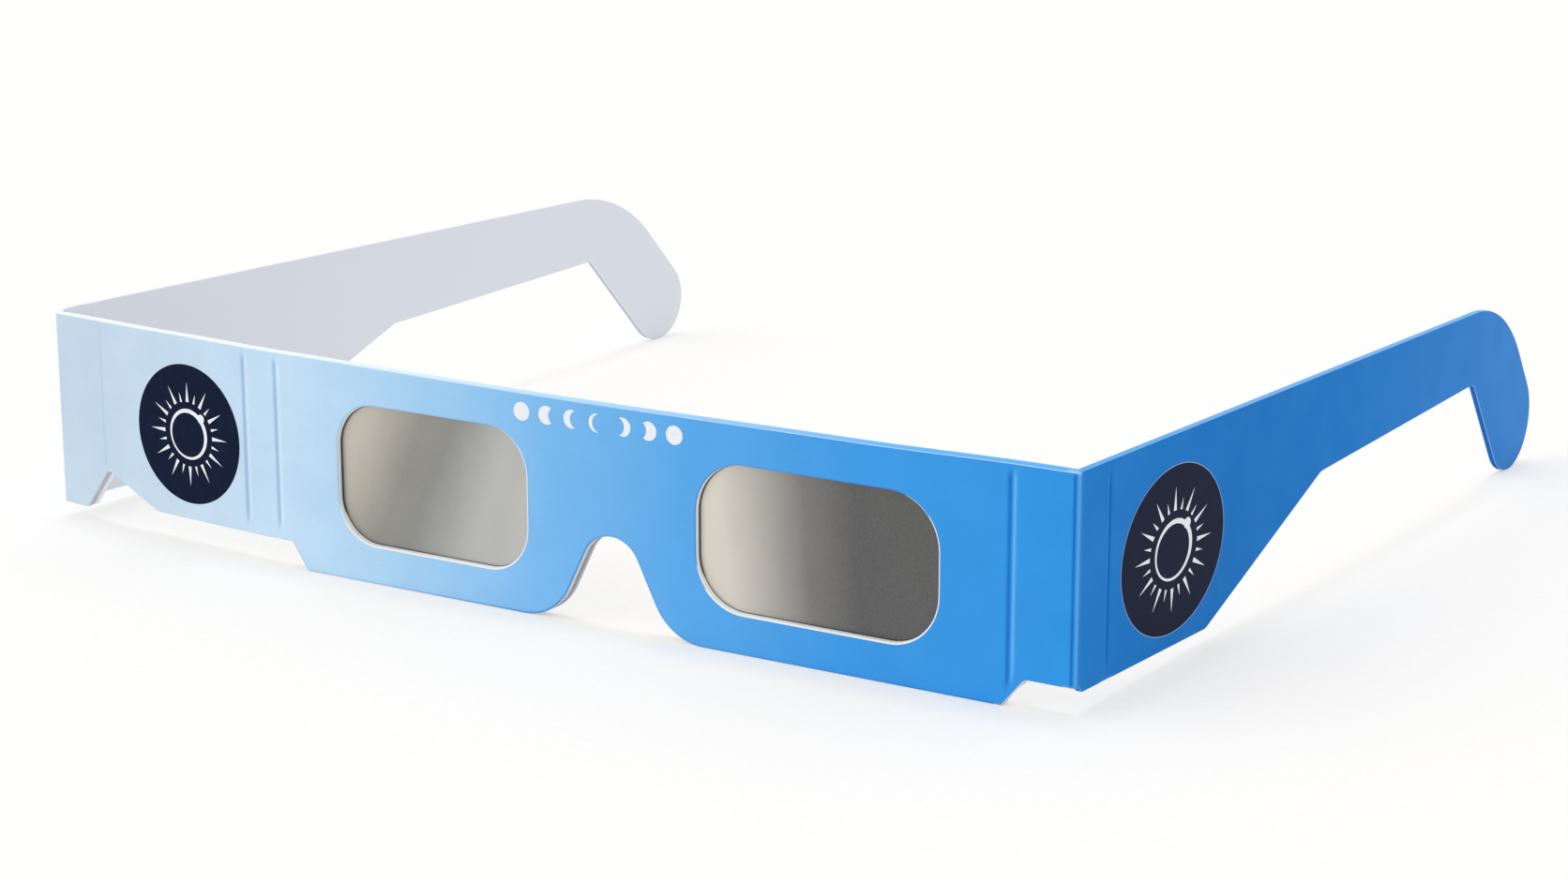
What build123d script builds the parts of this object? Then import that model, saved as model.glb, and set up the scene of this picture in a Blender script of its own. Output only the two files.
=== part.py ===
"""Card eclipse glasses: a double-ply front with two filter windows, folding wings and hooked temples.

Millimetres, +Z up. The printed side of the front faces -Y and the temples run back towards +Y.
Left and right are as seen from the front. The origin is at the middle of the part's box, on the
surface that the front's lower edge and both hook tips stand on.
"""
import os
from math import acos, atan2, cos, hypot, radians, sin, tan

from build123d import *

# Card, glue and film
board = 1.2
glue_thickness = 0.3
film_thickness = 0.12
overrun = 5.0

# Front: its main panel reaches from score to score, with a slanted step at each lower corner
main_width = 140.0
front_height = 37.5
fold_round = 0.5
left_foot_inset = 5.6
right_foot_inset = 1.2
left_step_run = 3.2
right_step_run = 3.9
wing_rise = 4.7

# Nose arch, from the middle of the main panel
nose_offset = -1.75
nose_height = 15.5
nose_top_radius = 5.5
nose_flare_radius = 10.0
nose_mouth = 34.6

# Eye windows: borders out to the scores, in to the nose arch's middle, down and up
left_window_side = 12.9
left_window_bridge = 16.55
left_window_round = 7.7
right_window_side = 12.2
right_window_bridge = 16.15
right_window_round = 8.6
window_below = 6.65
window_above = 6.85
back_window_margin = 0.5

# Filter panes, tape frames and the glue that holds the plies together
film_margin = 2.5
film_round = 1.0
pocket_clearance = 0.1
tape_margin = 1.0
glue_inset = 0.6

# Left gusset and wing, each turned a little back at its score
gusset_width = 7.2
left_wing_width = 46.2
left_score_turn = 2.37

# V notch in the left wing's lower edge, from the corner
leg_rise = 2.6
leg_width = 5.5
notch_rise = 9.9
notch_start = 11.0
notch_flat = 1.15
notch_end = 23.6

# Right wing
right_wing_width = 10.65

# Temples: lengths run back along the sloping top edge and depths down from it
temple_rise = 0.5
root_corner_round = 1.2
hook_inner_round = 2.2
taper_round = 4.0

left_lean = 3.0
left_droop = 1.13
left_root_length = 7.4
left_root_rise = 2.8
left_taper_start = 42.3
left_taper_end = 88.5
left_strap_depth = 17.1
left_strap_end_depth = 13.8
left_hook_start = 147.7
left_hook_bend_radius = 35.0
left_hook_angle = 45.4
left_hook_width = 17.2

right_splay = 1.3
right_droop = 1.56
right_root_length = 8.9
right_root_rise = 3.8
right_taper_start = 43.5
right_taper_end = 85.3
right_strap_depth = 16.8
right_strap_end_depth = 13.5
right_hook_start = 151.4
right_hook_bend_radius = 28.4
right_hook_angle = 52.3
right_hook_width = 19.0

# Creases: a bead of bent card lies in the gap between two panel ends
crease_gap = 0.05
ply_clearance = 0.15
score_fold = 30.0
right_wing_fold = 60.0

# Worked out from the sizes above
stack = 2 * board + glue_thickness
face = board / 2
card_end = face + crease_gap
back_of_stack = stack - face
gusset_ply_end = back_of_stack * tan(radians(score_fold) / 2) + ply_clearance
right_ply_end = back_of_stack * tan(radians(right_wing_fold) / 2) + ply_clearance
corner_ply_end = face + ply_clearance
cap_floor = front_height - board
temple_top = front_height + temple_rise


def temple_shape(side, droop, root, taper, strap, hook):
    """Outline sizes of one temple, with the hook run on until its round tip touches the ground."""
    slope = radians(droop)
    hook_start, bend_radius, angle, width = hook
    turn = radians(angle)
    tip_radius = width / 2
    bend_end = (hook_start + bend_radius * sin(turn), bend_radius * (1 - cos(turn)))
    middle = (bend_end[0] - tip_radius * sin(turn), bend_end[1] + tip_radius * cos(turn))
    drop = temple_top - tip_radius - middle[0] * sin(slope) - middle[1] * cos(slope)
    run = drop / sin(turn + slope)
    tip = (middle[0] + run * cos(turn), middle[1] + run * sin(turn))
    bend_half = (hook_start + bend_radius * sin(turn / 2), bend_radius * (1 - cos(turn / 2)))
    across = (tip_radius * sin(turn), tip_radius * cos(turn))
    inner_tip = (tip[0] - across[0], tip[1] + across[1])
    return {
        "side": side,
        "slope": slope,
        "root_length": root[0],
        "root_depth": root[1],
        "hook_start": (hook_start, 0),
        "bend_half": bend_half,
        "bend_end": bend_end,
        "outer_tip": (tip[0] + across[0], tip[1] - across[1]),
        "end_tip": (tip[0] + across[1], tip[1] + across[0]),
        "inner_tip": inner_tip,
        "inner_corner": (inner_tip[0] - (inner_tip[1] - strap[1]) / tan(turn), strap[1]),
        "taper_end": (taper[1], strap[0]),
        "taper_start": (taper[0], root[1]),
        "reach": tip[0] * cos(slope) - tip[1] * sin(slope) + tip_radius,
    }


left_shape = temple_shape(
    side=-1,
    droop=left_droop,
    root=(left_root_length, temple_top - left_root_rise),
    taper=(left_taper_start, left_taper_end),
    strap=(left_strap_depth, left_strap_end_depth),
    hook=(left_hook_start, left_hook_bend_radius, left_hook_angle, left_hook_width),
)
right_shape = temple_shape(
    side=1,
    droop=right_droop,
    root=(right_root_length, temple_top - right_root_rise),
    taper=(right_taper_start, right_taper_end),
    strap=(right_strap_depth, right_strap_end_depth),
    hook=(right_hook_start, right_hook_bend_radius, right_hook_angle, right_hook_width),
)

# Headings of the panels in plan, in degrees from +X
gusset_heading = 180 - left_score_turn
left_wing_heading = 180 - 2 * left_score_turn
left_temple_heading = 90 - left_lean
right_temple_heading = 90 - right_splay


def step(point, heading, length):
    """Point in plan a length away from another, along a heading."""
    return (point[0] + length * cos(radians(heading)), point[1] + length * sin(radians(heading)))


def fold_lines(middle):
    """Plan points of every fold, on the card's mid-plane, from the middle of the main panel."""
    left_score = step(middle, 180, main_width / 2)
    outer_score = step(left_score, gusset_heading, gusset_width)
    left_corner = step(outer_score, left_wing_heading, left_wing_width)
    right_score = step(middle, 0, main_width / 2)
    right_corner = step(right_score, 0, right_wing_width)
    return {
        "left_score_inner": left_score,
        "left_score_outer": outer_score,
        "left_corner_crease": left_corner,
        "left_temple_score": step(left_corner, left_temple_heading, left_root_length),
        "right_wing_score": right_score,
        "right_corner_crease": right_corner,
        "right_temple_score": step(right_corner, right_temple_heading, right_root_length),
    }


# The origin lies midway between the left corner and the right hook, and between the front and the left hook
trial = fold_lines((0, face))
box_left = trial["left_corner_crease"][0] - face
right_hook = step(trial["right_corner_crease"], right_temple_heading, right_shape["reach"])
box_right = step(right_hook, right_temple_heading - 90, face)[0]
left_hook = step(trial["left_corner_crease"], left_temple_heading, left_shape["reach"])
box_back = step(left_hook, left_temple_heading + 90, face)[1]
main_middle = (-(box_left + box_right) / 2, face - box_back / 2)
folds = fold_lines(main_middle)


def panel_plane(point, heading, side):
    """Plane of a panel's mid-plane: X runs along the panel, Y up and Z out of the printed face."""
    along = (side * cos(radians(heading)), side * sin(radians(heading)), 0)
    outward = (along[1], -along[0], 0)
    return Plane(origin=(point[0], point[1], 0), x_dir=along, z_dir=outward)


main_plane = panel_plane(main_middle, 0, 1)
gusset_plane = panel_plane(folds["left_score_inner"], gusset_heading, -1)
left_wing_plane = panel_plane(folds["left_score_outer"], left_wing_heading, -1)
left_temple_plane = panel_plane(folds["left_corner_crease"], left_temple_heading, -1)
right_wing_plane = panel_plane(folds["right_wing_score"], 0, 1)
right_temple_plane = panel_plane(folds["right_corner_crease"], right_temple_heading, 1)

# Place, width and corner radius of each eye window
window_height = front_height - window_below - window_above
window_middle = window_below + window_height / 2
left_window_ends = (left_window_side - main_width / 2, nose_offset - left_window_bridge)
right_window_ends = (nose_offset + right_window_bridge, main_width / 2 - right_window_side)
eyes = {
    name: ((ends[0] + ends[1]) / 2, ends[1] - ends[0], rounding)
    for name, ends, rounding in (
        ("left", left_window_ends, left_window_round),
        ("right", right_window_ends, right_window_round),
    )
}

# Levels of the layers below the panels' mid-plane
glue_level = -face - glue_thickness
back_level = -face - glue_thickness - board
tape_thickness = glue_thickness - film_thickness
film_level = -face - film_thickness


def save(part, name):
    """Label a finished sub-part and write it."""
    part.label = name
    export_step(part, f"parts/{name}.step")


def outline(points, mode=Mode.ADD):
    """Closed face through a ring of points, in the sketch that is open."""
    with BuildLine() as ring:
        Polyline(*points, close=True)
    make_face(ring.line, mode=mode)


def nose_arch():
    """Cut the arch for the nose: a round top that runs down straight sides into two flared feet."""
    mouth = nose_mouth / 2
    top = nose_height - nose_top_radius
    apart = hypot(mouth, nose_flare_radius - top)
    lean = atan2(nose_flare_radius - top, mouth) + acos((nose_top_radius + nose_flare_radius) / apart)
    flare = radians(180 + 270) / 2 + lean / 2
    side_x = nose_top_radius * cos(lean)
    side_z = top + nose_top_radius * sin(lean)
    foot_x = mouth - nose_flare_radius * cos(lean)
    foot_z = nose_flare_radius - nose_flare_radius * sin(lean)
    turn_x = mouth + nose_flare_radius * cos(flare)
    turn_z = nose_flare_radius + nose_flare_radius * sin(flare)
    with BuildLine() as arch:
        ThreePointArc(
            (nose_offset - side_x, side_z),
            (nose_offset, nose_height),
            (nose_offset + side_x, side_z),
        )
        for side in (-1, 1):
            Line((nose_offset + side * side_x, side_z), (nose_offset + side * foot_x, foot_z))
            ThreePointArc(
                (nose_offset + side * foot_x, foot_z),
                (nose_offset + side * turn_x, turn_z),
                (nose_offset + side * mouth, 0),
            )
            Line((nose_offset + side * mouth, 0), (nose_offset + side * mouth, -overrun))
        Line((nose_offset - mouth, -overrun), (nose_offset + mouth, -overrun))
    make_face(arch.line, mode=Mode.SUBTRACT)


def step_cuts(start):
    """Cut both lower corners of the front away up to the wings' lower edge, in a panel that starts at a place."""
    for side, inset, run in ((-1, left_foot_inset, left_step_run), (1, right_foot_inset, right_step_run)):
        foot = main_width / 2 - inset
        outline(
            [
                (side * (foot - run * overrun / wing_rise) - start, -overrun),
                (side * (foot + run) - start, wing_rise),
                (side * main_width - start, wing_rise),
                (side * main_width - start, -overrun),
            ],
            Mode.SUBTRACT,
        )


def main_outline(left_end, right_end, top):
    """The main panel without its windows, in the sketch that is open."""
    left = left_end - main_width / 2
    right = main_width / 2 - right_end
    outline([(left, 0), (right, 0), (right, top), (left, top)])
    step_cuts(0)
    nose_arch()


def cut_windows(margin):
    """Cut both eye windows, widened by a margin on every side."""
    for place, width, rounding in eyes.values():
        with Locations((place, window_middle)):
            RectangleRounded(
                width + 2 * margin,
                window_height + 2 * margin,
                rounding + margin,
                mode=Mode.SUBTRACT,
            )


def pane(width, margin):
    """A filter pane's outline, widened by a margin, in the sketch that is open."""
    RectangleRounded(width + 2 * margin, window_height + 2 * margin, film_round)


def left_wing_outline(start, end, top):
    """The left wing from the score to the corner, with the notch in its lower edge."""
    corner = left_wing_width
    outline(
        [
            (-start, wing_rise),
            (-start, top),
            (end - corner, top),
            (end - corner, leg_rise),
            (leg_width - corner, leg_rise),
            (notch_start - corner, notch_rise),
            (notch_start + notch_flat - corner, notch_rise),
            (notch_end - corner, wing_rise),
        ]
    )


def right_wing_outline(start, end, top):
    """The right wing, whose lower edge carries on the slant of the front's step."""
    outline([(start, 0), (right_wing_width - end, 0), (right_wing_width - end, top), (start, top)])
    step_cuts(main_width / 2)


def gusset_outline(start, end, top):
    """The narrow strip between the two left scores."""
    outline([(-start, wing_rise), (end - gusset_width, wing_rise), (end - gusset_width, top), (-start, top)])


def cap(plane, low, high):
    """The card folded over the top of the plies behind it, with both top edges rounded."""
    with BuildSketch(plane.offset(-back_of_stack)) as fold:
        outline([(low, cap_floor), (high, cap_floor), (high, front_height), (low, front_height)])
    extrude(fold.sketch, amount=stack - board)
    round_top()


def round_top():
    """Round the long edges along the folded top of the open part."""
    top = faces().filter_by(Axis.Z).sort_by(Axis.Z)[-1]
    longest = max(edge.length for edge in top.edges())
    fillet([edge for edge in top.edges() if edge.length > longest / 2], fold_round)


def temple_point(shape, place):
    """Point on a temple's plane, from the distances along and below its sloping top edge."""
    along, down = place
    slope = shape["slope"]
    return (
        shape["side"] * (along * cos(slope) - down * sin(slope)),
        temple_top - along * sin(slope) - down * cos(slope),
    )


def temple_outline(shape):
    """A whole temple: deep root, tapering strap and the hook that turns down behind the ear."""
    front_top = temple_point(shape, (0, 0))
    root_foot = temple_point(shape, (0, shape["root_depth"]))
    corners = ("hook_start", "bend_half", "bend_end", "outer_tip", "end_tip", "inner_tip")
    start, bend_half, bend_end, outer_tip, end_tip, inner_tip = (
        temple_point(shape, shape[corner]) for corner in corners
    )
    inner_corner, taper_end, taper_start = (
        temple_point(shape, shape[corner]) for corner in ("inner_corner", "taper_end", "taper_start")
    )
    with BuildLine() as ring:
        Line(front_top, start)
        ThreePointArc(start, bend_half, bend_end)
        Line(bend_end, outer_tip)
        ThreePointArc(outer_tip, end_tip, inner_tip)
        Polyline(inner_tip, inner_corner, taper_end, taper_start, root_foot, front_top)
    make_face(ring.line)
    for corner, radius in (
        (inner_corner, hook_inner_round),
        (taper_end, taper_round),
        (taper_start, taper_round),
    ):
        fillet(vertices().sort_by_distance(corner)[0], radius)


def keep_between(side, low, high):
    """Keep only the stretch of the open sketch between two distances from the corner."""
    with Locations((side * (low + high) / 2, temple_top / 2)):
        Rectangle(high - low, 2 * temple_top, mode=Mode.INTERSECT)


def layer(plane, level, thickness, draw):
    """A sheet drawn on a panel's plane at a level and given its thickness."""
    with BuildPart() as sheet:
        with BuildSketch(plane.offset(level)):
            draw()
        extrude(amount=thickness)
    return sheet.part


def crease(name, low, high):
    """Bead of bent card on a fold line, from one height to another."""
    with BuildPart() as bead:
        with BuildSketch(Plane.XY.offset(low)):
            with Locations(folds[name]):
                Circle(face)
        extrude(amount=high - low)
    save(bead.part, name)


os.makedirs("parts", exist_ok=True)

# Main panel: printed card with its folded top
with BuildPart() as front_card:
    with BuildSketch(main_plane.offset(-face)):
        main_outline(card_end, card_end, front_height)
        cut_windows(0)
    extrude(amount=board)
    cap(main_plane, gusset_ply_end - main_width / 2, main_width / 2 - right_ply_end)
save(front_card.part, "front_card")

# White inner ply that faces the eyes
with BuildPart() as back_card:
    with BuildSketch(main_plane.offset(back_level)):
        main_outline(gusset_ply_end, right_ply_end, cap_floor)
        cut_windows(back_window_margin)
    extrude(amount=board)
save(back_card.part, "back_card")

# Glue between the plies, left out where the filter panes lie
with BuildPart() as glue_sheet:
    with BuildSketch(main_plane.offset(glue_level)):
        main_outline(gusset_ply_end, right_ply_end, cap_floor)
        offset(amount=-glue_inset, mode=Mode.REPLACE)
        for place, width, rounding in eyes.values():
            with Locations((place, window_middle)):
                pocket = film_margin + pocket_clearance
                RectangleRounded(
                    width + 2 * pocket,
                    window_height + 2 * pocket,
                    film_round + pocket_clearance,
                    mode=Mode.SUBTRACT,
                )
    extrude(amount=glue_thickness)
save(glue_sheet.part, "glue_sheet")

# Filter panes against the printed card, each with a tape frame behind it
for name, (place, width, rounding) in eyes.items():
    with BuildPart() as filter_film:
        with BuildSketch(main_plane.offset(film_level)):
            with Locations((place, window_middle)):
                pane(width, film_margin)
        extrude(amount=film_thickness)
    save(filter_film.part, f"{name}_filter_film")
    with BuildPart() as film_tape:
        with BuildSketch(main_plane.offset(glue_level)):
            with Locations((place, window_middle)):
                pane(width, film_margin)
                RectangleRounded(
                    width + 2 * tape_margin,
                    window_height + 2 * tape_margin,
                    rounding + tape_margin,
                    mode=Mode.SUBTRACT,
                )
        extrude(amount=tape_thickness)
    save(film_tape.part, f"{name}_film_tape")

# Left gusset between the double score
with BuildPart() as left_gusset_card:
    with BuildSketch(gusset_plane.offset(-face)):
        gusset_outline(card_end, card_end, front_height)
    extrude(amount=board)
    cap(gusset_plane, gusset_ply_end - gusset_width, -gusset_ply_end)
save(left_gusset_card.part, "left_gusset_card")


def gusset_back():
    """Outline of the gusset's plies behind the printed card."""
    gusset_outline(gusset_ply_end, gusset_ply_end, cap_floor)


def gusset_glue():
    """The same outline drawn in all round for the glue."""
    gusset_back()
    offset(amount=-glue_inset, mode=Mode.REPLACE)


save(layer(gusset_plane, back_level, board, gusset_back), "left_gusset_liner")
save(layer(gusset_plane, glue_level, glue_thickness, gusset_glue), "left_gusset_glue")

# Left wing
with BuildPart() as left_wing_card:
    with BuildSketch(left_wing_plane.offset(-face)):
        left_wing_outline(card_end, card_end, front_height)
    extrude(amount=board)
    cap(left_wing_plane, corner_ply_end - left_wing_width, -gusset_ply_end)
save(left_wing_card.part, "left_wing_card")


def left_wing_back():
    """Outline of the left wing's plies behind the printed card."""
    left_wing_outline(gusset_ply_end, corner_ply_end, cap_floor)


def left_wing_glue():
    """The same outline drawn in all round for the glue."""
    left_wing_back()
    offset(amount=-glue_inset, mode=Mode.REPLACE)


save(layer(left_wing_plane, back_level, board, left_wing_back), "left_wing_liner")
save(layer(left_wing_plane, glue_level, glue_thickness, left_wing_glue), "left_wing_glue")

# Right wing
with BuildPart() as right_wing_card:
    with BuildSketch(right_wing_plane.offset(-face)):
        right_wing_outline(card_end, card_end, front_height)
    extrude(amount=board)
    cap(right_wing_plane, right_ply_end, right_wing_width - corner_ply_end)
save(right_wing_card.part, "right_wing_card")


def right_wing_back():
    """Outline of the right wing's plies behind the printed card."""
    right_wing_outline(right_ply_end, corner_ply_end, cap_floor)


def right_wing_glue():
    """The same outline drawn in all round for the glue."""
    right_wing_back()
    offset(amount=-glue_inset, mode=Mode.REPLACE)


save(layer(right_wing_plane, back_level, board, right_wing_back), "right_wing_liner")
save(layer(right_wing_plane, glue_level, glue_thickness, right_wing_glue), "right_wing_glue")

# Temples: a root strip beside the corner, then the strap with its hook
temples = {"left": (left_temple_plane, left_shape), "right": (right_temple_plane, right_shape)}
for name, (plane, shape) in temples.items():
    side = shape["side"]
    score = shape["root_length"]
    with BuildPart() as temple_root:
        with BuildSketch(plane.offset(-face)):
            temple_outline(shape)
            keep_between(side, card_end, score - card_end)
            fillet(vertices().sort_by_distance((side * card_end, 0))[0], root_corner_round)
        extrude(amount=board)
    save(temple_root.part, f"{name}_temple_root")
    with BuildPart() as temple:
        with BuildSketch(plane.offset(-face)):
            temple_outline(shape)
            keep_between(side, score + card_end, shape["reach"] + overrun)
        extrude(amount=board)
    save(temple.part, f"{name}_temple")

# Creases
crease_top = front_height - fold_round
crease("left_score_inner", wing_rise, crease_top)
crease("left_score_outer", wing_rise, crease_top)
crease("left_corner_crease", leg_rise, crease_top)
crease("right_wing_score", wing_rise, crease_top)
crease("right_corner_crease", wing_rise, crease_top)
for name, (plane, shape) in temples.items():
    low = temple_point(shape, (shape["root_length"], shape["root_depth"]))[1]
    high = temple_point(shape, (shape["root_length"], 0))[1]
    crease(f"{name}_temple_score", low, high)

for name, point in folds.items():
    print(f"{name} {point[0]:.4f} {point[1]:.4f}")
print(f"main_middle {main_middle[0]:.4f} {main_middle[1]:.4f}")
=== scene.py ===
"""Card eclipse glasses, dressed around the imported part. Metres, +Z up, the printed front faces -Y."""
from math import atan2, cos, exp, pi, radians, sin, sqrt, tan

import bmesh
import bpy
from mathutils import Matrix, Vector
from mathutils.geometry import delaunay_2d_cdt


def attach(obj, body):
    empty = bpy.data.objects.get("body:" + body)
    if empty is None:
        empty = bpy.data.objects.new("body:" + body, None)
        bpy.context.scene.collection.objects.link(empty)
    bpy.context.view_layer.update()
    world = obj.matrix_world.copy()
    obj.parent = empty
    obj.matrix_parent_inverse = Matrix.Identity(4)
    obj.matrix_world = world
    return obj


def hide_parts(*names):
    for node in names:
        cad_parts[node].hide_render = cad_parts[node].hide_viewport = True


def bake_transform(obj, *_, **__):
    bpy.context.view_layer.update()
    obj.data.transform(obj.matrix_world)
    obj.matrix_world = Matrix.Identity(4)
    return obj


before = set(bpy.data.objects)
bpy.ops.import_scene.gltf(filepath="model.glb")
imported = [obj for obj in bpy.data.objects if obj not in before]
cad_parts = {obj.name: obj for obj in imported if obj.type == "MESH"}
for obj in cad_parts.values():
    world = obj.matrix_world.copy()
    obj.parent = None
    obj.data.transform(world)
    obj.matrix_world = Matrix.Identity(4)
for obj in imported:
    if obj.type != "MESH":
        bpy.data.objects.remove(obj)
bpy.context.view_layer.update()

MM = 0.001
scene = bpy.context.scene

# All in millimetres. Depths are measured out of the board's mid-plane, towards the printed side
FACE = 0.6  # the CAD's printed face
SKIN = 0.58  # the visible printed face, just inside it
GLUE_BACK = -0.9
STACK_BACK = -2.1
SOFT = 0.15  # width of a softened cut edge
RIM_ROUND = 0.3  # width of a window's rounded rim
RIM_PRINT = 0.13  # how far down that rim the print reaches

# Heights above the floor
LEG_LOW = 2.6
WING_LOW = 4.7
WINDOW_MIDDLE = 18.65
CAP_FLOOR = 36.3
FRONT_TOP = 37.5
TEMPLE_TOP = 38.0

# The folded top: the CAD's rounding, the visible lip and the depths at which its crown is drawn
FOLD_ROUND = 0.5
LIP = 0.2  # also the rounding of the temples' upper edges at their folds
TOP_DEPTHS = (-0.1, -0.5, -0.9, -1.25, -1.6, -1.8, -1.95, -2.05, STACK_BACK)

# Places along the unrolled sheet, from the middle between the two main scores
LEFT_CORNER_AT = -123.4
OUTER_SCORE_AT = -77.2
LEFT_SCORE_AT = -70
NOSE_AT = -1.75
RIGHT_SCORE_AT = 70
RIGHT_CORNER_AT = 80.65
LEFT_STRAP_AT = -130.8
RIGHT_STRAP_AT = 89.55

# Windows: middle along the sheet, half the width, corner radius, and how far out the rim's painted highlight and
# shade reach
WINDOWS = {"left": (-37.7, 19.4, 7.7, 19.7), "right": (36.1, 21.7, 8.6, 22.0)}
WINDOW_HALF = 12.0

# Fold lines in plan, and each panel: a point on it, its heading and that point's place on the unrolled sheet
FOLDS = {
    "left_temple_score": (-103.6036, -82.0894),
    "left_corner_crease": (-103.9909, -89.4793),
    "left_score_outer": (-57.9489, -93.297),
    "left_score_inner": (-50.755, -93.5947),
    "right_wing_score": (89.245, -93.5947),
    "right_corner_crease": (99.895, -93.5947),
    "right_temple_score": (100.0969, -84.697),
}


class Panel:
    """A flat panel of the card, with plan axes along the sheet and out of the printed face."""

    def __init__(self, point, degrees, start):
        self.point = Vector((point[0], point[1], 0))
        self.along = Vector((cos(radians(degrees)), sin(radians(degrees)), 0))
        self.out = Vector((self.along.y, -self.along.x, 0))
        self.start = start

    def sheet(self, place):
        """Place on the unrolled sheet, height and distance out of the mid-plane."""
        offset = place - self.point
        return Vector((self.start + offset.dot(self.along), place.z, offset.dot(self.out)))

    def at(self, across, height, depth):
        """Point at a place on the unrolled sheet, a height and a distance out of the mid-plane."""
        return self.point + self.along * (across - self.start) + self.out * depth + Vector((0, 0, height))


MAIN_MIDDLE = (19.245, -93.5947)
MAIN = Panel(MAIN_MIDDLE, 0, 0)
GUSSET = Panel(FOLDS["left_score_inner"], -2.37, LEFT_SCORE_AT)
LEFT_WING = Panel(FOLDS["left_score_outer"], -4.74, OUTER_SCORE_AT)
LEFT_TEMPLE = Panel(FOLDS["left_corner_crease"], -93, LEFT_CORNER_AT)
RIGHT_WING = Panel(FOLDS["right_wing_score"], 0, RIGHT_SCORE_AT)
RIGHT_TEMPLE = Panel(FOLDS["right_corner_crease"], 88.7, RIGHT_CORNER_AT)


def linear(code):
    """Linear colour from six hexadecimal digits."""
    parts = [int(code[i : i + 2], 16) / 255 for i in (0, 2, 4)]
    return [p / 12.92 if p <= 0.04045 else ((p + 0.055) / 1.055) ** 2.4 for p in parts] + [1]


def fade(value, low, high):
    """Smooth step from 0 at low to 1 at high."""
    t = min(1, max(0, (value - low) / (high - low)))
    return t * t * (3 - 2 * t)


def bump_at(value, place, width):
    """Soft bump of height 1 about a place."""
    return exp(-(((value - place) / width) ** 2))


def fold_height(across):
    """Height of the front's folded top along the unrolled sheet: it dips over the nose and rises at the right."""
    dip = 0.44 * bump_at(across, -12, 38) * fade(across, -67, -50) * fade(-across, -67, -45)
    return FRONT_TOP - dip + 0.44 * fade(across, 43, 75) - 0.14 * fade(-across, 85, 105)


def crown(across, depth):
    """How far the folded top falls away towards its back edge."""
    amount = 0.85 - 0.15 * fade(across, -100, -84) - 0.1 * fade(across, 10, 40)
    back = min(1, max(0, (-0.1 - depth) / 2.0))
    return amount * (1 - sqrt(1 - back * back))


# Node trees


class Tree:
    """A node tree with short calls for the nodes that the materials share."""

    def __init__(self, tree):
        self.tree = tree
        tree.nodes.clear()

    def add(self, kind, inputs=(), **settings):
        made = self.tree.nodes.new(kind)
        for name, value in settings.items():
            setattr(made, name, value)
        for name, value in dict(inputs).items():
            if isinstance(value, bpy.types.NodeSocket):
                self.tree.links.new(value, made.inputs[name])
            else:
                made.inputs[name].default_value = value
        return made.outputs

    def math(self, operation, a, b=0.0, clamp=False):
        return self.add("ShaderNodeMath", {0: a, 1: b}, operation=operation, use_clamp=clamp)[0]

    def times(self, first, *others):
        for other in others:
            first = self.math("MULTIPLY", first, other)
        return first

    def mix(self, share, a, b, blend="MIX"):
        inputs = {0: share, 6: a, 7: b}
        return self.add("ShaderNodeMix", inputs, data_type="RGBA", blend_type=blend, clamp_factor=True)[2]

    def tint(self, colour, by):
        return self.mix(1.0, colour, by, "MULTIPLY")

    def range(self, value, low, high, to_low=0.0, to_high=1.0, kind="SMOOTHSTEP"):
        inputs = {0: value, 1: low, 2: high, 3: to_low, 4: to_high}
        return self.add("ShaderNodeMapRange", inputs, interpolation_type=kind)[0]

    def noise(self, place, scale, detail=3.0, rough=0.5):
        inputs = {"Vector": place, "Scale": scale, "Detail": detail, "Roughness": rough}
        return self.add("ShaderNodeTexNoise", inputs, noise_type="FBM")[0]

    def stretch(self, place, scale):
        return self.add("ShaderNodeVectorMath", {0: place, 1: scale}, operation="MULTIPLY")[0]

    def ramp(self, value, stops):
        low, high = stops[0][0], stops[-1][0]
        share = self.range(value, low, high, kind="LINEAR")
        made = self.tree.nodes.new("ShaderNodeValToRGB")
        self.tree.links.new(share, made.inputs[0])
        elements = made.color_ramp.elements
        while len(elements) < len(stops):
            elements.new(0.5)
        for element, (place, code) in zip(elements, stops):
            element.position = (place - low) / (high - low)
            element.color = linear(code)
        return made.outputs[0]

    def bump(self, height, distance, strength=1.0):
        return self.add("ShaderNodeBump", {"Height": height, "Distance": distance, "Strength": strength})[0]


def finish_material(name, make):
    """A material whose make function gives the sockets of its one shader."""
    material = bpy.data.materials.new(name)
    material.use_nodes = True
    tree = Tree(material.node_tree)
    shader = tree.add("ShaderNodeBsdfPrincipled", make(tree))[0]
    tree.add("ShaderNodeOutputMaterial", {"Surface": shader})
    return material


def sheet_place(tree):
    """Place on the unrolled sheet, kept on each piece, with its three parts."""
    place = tree.add("ShaderNodeAttribute", attribute_name="sheet", attribute_type="GEOMETRY")[1]
    parts = tree.add("ShaderNodeSeparateXYZ", {0: place})
    return place, parts[0], parts[1], parts[2]


def sheet_shading(tree):
    """Painted highlight, partly worn ink, (up to 1) and painted shade (up to 1) on the card, kept on each piece as
    one value.
    """
    wear_and_shading = tree.add("ShaderNodeAttribute", attribute_name="wear_and_shading", attribute_type="GEOMETRY")[2]
    return wear_and_shading, tree.math("MULTIPLY", wear_and_shading, 1, True), tree.math("MULTIPLY", wear_and_shading, -1, True)


def surface(tree, colour, rough, specular, relief, distance, strength):
    """The shader's sockets for a dull surface with a fine relief."""
    normal = tree.bump(relief, distance, strength)
    return {"Base Color": colour, "Roughness": rough, "Specular IOR Level": specular, "Normal": normal}


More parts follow.
